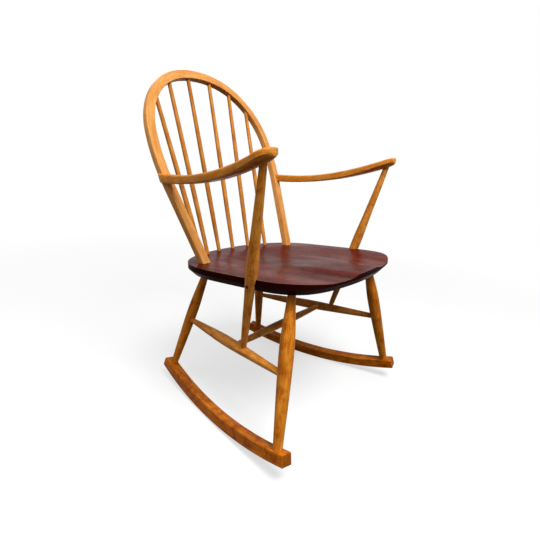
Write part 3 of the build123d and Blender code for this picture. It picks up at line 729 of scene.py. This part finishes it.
# y, inner and outer edge, height of the underside above the seat, thickness; in millimetres
arm_stations = np.array((
    (240.0, 212.0, 237.0, 183.7, 22.4),
    (190.0, 215.5, 240.5, 183.7, 21.5),
    (145.0, 219.5, 246.5, 185.3, 20.6),
    (80.0, 227.5, 259.0, 190.7, 19.8),
    (0.0, 237.0, 272.5, 204.7, 20.2),
    (-80.0, 247.5, 286.5, 224.2, 21.5),
    (-138.0, 254.0, 304.0, 243.5, 22.1),
))
arm_nose_reach = 27.0         # the nose is half round in plan, and runs on by this
arm_nose_thin = 0.62          # share of the thickness left at the tip
arm_nose_bulge = 0.35         # how round the broad chamfer under the nose is, 1.0 being fully
arm_tip_width = 0.02          # share of the width left at the tip
arm_top_round = 5.0
arm_foot_round = 4.0          # lower corners at the lap
arm_nose_round = (0.7, 0.42)  # lower corners at the nose, shares of half width, thickness
arm_round_from, arm_round_full = 0.0, -150.0     # y where the chamfer starts and is full
arm_top_most, arm_foot_most = 0.4, 0.6           # shares of the thickness that corners may take
arm_bends = 4                 # order of the curves through the stations
arm_lap_from = 209.0          # y from which the lap's end is cut back to the slant of the bow
arm_lap_short = 6.0           # the lap ends this far before the back of the bow
arm_rings, arm_nose_rings, corner_steps = 46, 12, 6


def flowing(column):
    """A smooth curve through one column of the arm's stations, against y."""
    return np.polynomial.Polynomial.fit(arm_stations[:, 0], arm_stations[:, column], arm_bends)


arm_inner, arm_outer, arm_under, arm_thick = (flowing(column) for column in (1, 2, 3, 4))


def arm_ring(y, width_share, thick_share):
    """Points round the arm's section at y, from the inner top corner over the outer one."""
    widest = max(y, arm_stations[-1, 0])
    middle = (arm_inner(widest) + arm_outer(widest)) / 2
    half = (arm_outer(widest) - arm_inner(widest)) / 2 * width_share
    low = seat_height * 1000 + arm_under(y)
    thick = arm_thick(y) * thick_share
    # a thinned section keeps its top and loses wood below
    high = low + arm_thick(y) - (1 - width_share) ** 2 * arm_top_round
    low = high - thick
    share = min(max((arm_round_from - y) / (arm_round_from - arm_round_full), 0.0), 1.0)
    # it comes in gently and is gently full
    share = share * share * (3 - 2 * share)
    top = (min(arm_top_round, half), min(arm_top_round, thick * arm_top_most))
    foot = (min(arm_foot_round + (arm_nose_round[0] * half - arm_foot_round) * share, half),
            min(arm_foot_round + (arm_nose_round[1] * thick - arm_foot_round) * share,
                thick * arm_foot_most))
    ring = []
    for sideways, up, (wide, tall) in ((-1, 1, top), (1, 1, top), (1, -1, foot), (-1, -1, foot)):
        bulge = 1.0 if up > 0 else 1.0 - (1.0 - arm_nose_bulge) * share
        for step in range(corner_steps + 1):
            part = step / corner_steps
            if sideways * up > 0:
                part = 1.0 - part
            # a corner is between a flat chamfer and a full quarter round
            across = bulge * math.cos(math.pi / 2 * part) + (1 - bulge) * (1 - part)
            rise = bulge * math.sin(math.pi / 2 * part) + (1 - bulge) * part
            ring.append((middle + sideways * (half - wide + wide * across),
                         (high if up > 0 else low) - up * (tall - tall * rise)))
    return ring


def shaped_arm(name, out):
    """Closed mesh of an arm, rings of its section from the lap to the tip of the nose."""
    last = arm_stations[-1, 0]
    sections = [(y, 1.0, 1.0) for y in np.linspace(arm_lap_from, last, arm_rings)]
    for step in range(1, arm_nose_rings + 1):
        turn = math.pi / 2 * step / arm_nose_rings
        width = max(math.cos(turn), arm_tip_width)
        sections.append((last - arm_nose_reach * math.sin(turn), width,
                         arm_nose_thin + (1 - arm_nose_thin) * width))
    shape = bmesh.new()
    rings = []
    for y, width, thick in sections:
        ring = []
        for x, z in arm_ring(y, width, thick):
            point = Vector((out * x, y, z)) / 1000.0
            if y == arm_lap_from:
                # the lap is sawn off parallel to the back of the bow
                depth = (point - bow_origin).dot(front_normal) + bow_depth / 2
                point.y += (depth - arm_lap_short / 1000.0) / math.cos(bow_lean)
            ring.append(shape.verts.new(rolled @ point))
        rings.append(ring)
    for ring, following in zip(rings, rings[1:]):
        for i, vertex in enumerate(ring):
            j = (i + 1) % len(ring)
            shape.faces.new((vertex, ring[j], following[j], following[i]))
    shape.faces.new(rings[0])
    shape.faces.new(rings[-1])
    bmesh.ops.recalc_face_normals(shape, faces=shape.faces)
    mesh = bpy.data.meshes.new(name)
    shape.to_mesh(mesh)
    shape.free()
    mesh.shade_smooth()
    mesh.set_sharp_from_angle(angle=smooth_below)
    mesh.materials.append(arm_beech)
    piece = bpy.data.objects.new(name, mesh)
    scene.collection.objects.link(piece)
    return piece


for side, out in (("left", 1), ("right", -1)):
    node = f"arm_{side}"
    low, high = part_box(node)
    lap = Vector((out * min(abs(low.x), abs(high.x)), high.y, low.z))
    nose = Vector((out * max(abs(low.x), abs(high.x)), low.y, high.z))
    arm = shaped_arm(f"{node}_shaped", out)
    lay_grain(arm, straight(lap, nose - lap), plank)
    dressed(arm, node)
    plank += 1


# ------------------------------------------------------------------ floor, light and camera
# A pale studio floor that keeps the chair's shadow and fades to white further out. It gives the
# wood less light than it shows, so that the undersides stay dark.
floor_reach = 6.0             # m
floor_white = linear("#FFFFFF")
floor_bounce = linear("#463F36")     # what it gives back to the wood
fade_from, fade_to = 0.7, 2.2        # m out from under the chair
shadow_keep = 0.62            # brightness that the floor keeps under the chair
floor_mesh = bpy.data.meshes.new("floor")
shape = bmesh.new()
bmesh.ops.create_grid(shape, x_segments=1, y_segments=1, size=floor_reach)
shape.to_mesh(floor_mesh)
shape.free()
floor = bpy.data.objects.new("floor", floor_mesh)
scene.collection.objects.link(floor)
floor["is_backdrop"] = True
floor_material = bpy.data.materials.new("studio_floor")
floor_material.use_nodes = True
tree = floor_material.node_tree
tree.nodes.clear()
place = add(tree, "ShaderNodeTexCoord").outputs["Object"]
away = add(tree, "ShaderNodeVectorMath", {0: place}, operation="LENGTH").outputs["Value"]
fade = add(tree, "ShaderNodeMapRange", {0: away, 1: fade_from, 2: fade_to, 3: shadow_keep, 4: 1.0},
           interpolation_type="SMOOTHSTEP").outputs[0]
matt = add(tree, "ShaderNodeBsdfDiffuse", {"Color": floor_white}).outputs[0]
glow = add(tree, "ShaderNodeEmission", {"Color": floor_white, "Strength": 1.0}).outputs[0]
seen = add(tree, "ShaderNodeMixShader", {0: fade, 1: matt, 2: glow}).outputs[0]
grey = add(tree, "ShaderNodeBsdfDiffuse", {"Color": floor_bounce}).outputs[0]
light = add(tree, "ShaderNodeLightPath").outputs
direct = add(tree, "ShaderNodeMath", {0: light["Is Camera Ray"], 1: light["Is Glossy Ray"]},
             operation="MAXIMUM").outputs[0]
both = add(tree, "ShaderNodeMixShader", {0: direct, 1: grey, 2: seen}).outputs[0]
add(tree, "ShaderNodeOutputMaterial", {"Surface": both})
floor_mesh.materials.append(floor_material)

# The room is white where it is seen or mirrored, and gives the chair a soft even light.
room_light = 0.34
world = bpy.data.worlds.new("studio")
scene.world = world
world.use_nodes = True
tree = world.node_tree
tree.nodes.clear()
light = add(tree, "ShaderNodeLightPath").outputs
direct = add(tree, "ShaderNodeMath", {0: light["Is Camera Ray"], 1: light["Is Glossy Ray"]},
             operation="MAXIMUM").outputs[0]
strength = add(tree, "ShaderNodeMapRange", {0: direct, 3: room_light, 4: 1.0}).outputs[0]
sky = add(tree, "ShaderNodeBackground", {"Color": floor_white, "Strength": strength})
add(tree, "ShaderNodeOutputWorld", {"Surface": sky.outputs[0]})

# Two large round lamps: the key stands high in front, a little to the sitter's right, and the
# weaker fill high on the sitter's right. Each has its place and size in metres and its watts.
aim_height = 0.4
for name, spot, size, power in (("key", (-0.5, -1.5, 2.9), 1.4, 90.0),
                                ("fill", (-1.5, 0.2, 2.8), 2.0, 22.0)):
    lamp_data = bpy.data.lights.new(name, "AREA")
    lamp_data.shape = "DISK"
    lamp_data.size = size
    lamp_data.energy = power
    lamp = bpy.data.objects.new(name, lamp_data)
    lamp.location = spot
    aim = Vector((0.0, 0.0, aim_height)) - lamp.location
    lamp.rotation_euler = aim.to_track_quat("-Z", "Y").to_euler()
    scene.collection.objects.link(lamp)

# The camera looks down a little on the chair's front right corner.
camera_place = Vector((-0.864048, -0.619074, 0.653284))
camera_right = Vector((0.6145630, -0.7846978, 0.0810047))
camera_up = Vector((0.1635239, 0.2271734, 0.9600272))
camera_data = bpy.data.cameras.new("camera")
camera_data.sensor_width = 36.0
camera_data.lens = 27.047
camera_data.shift_x = 0.00106
camera_data.shift_y = -0.01412
camera = bpy.data.objects.new("camera", camera_data)
turn = Matrix((camera_right, camera_up, camera_right.cross(camera_up))).transposed()
camera.matrix_world = Matrix.Translation(camera_place) @ turn.to_4x4()
scene.collection.objects.link(camera)
scene.camera = camera
scene.view_settings.view_transform = "Standard"

low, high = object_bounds()
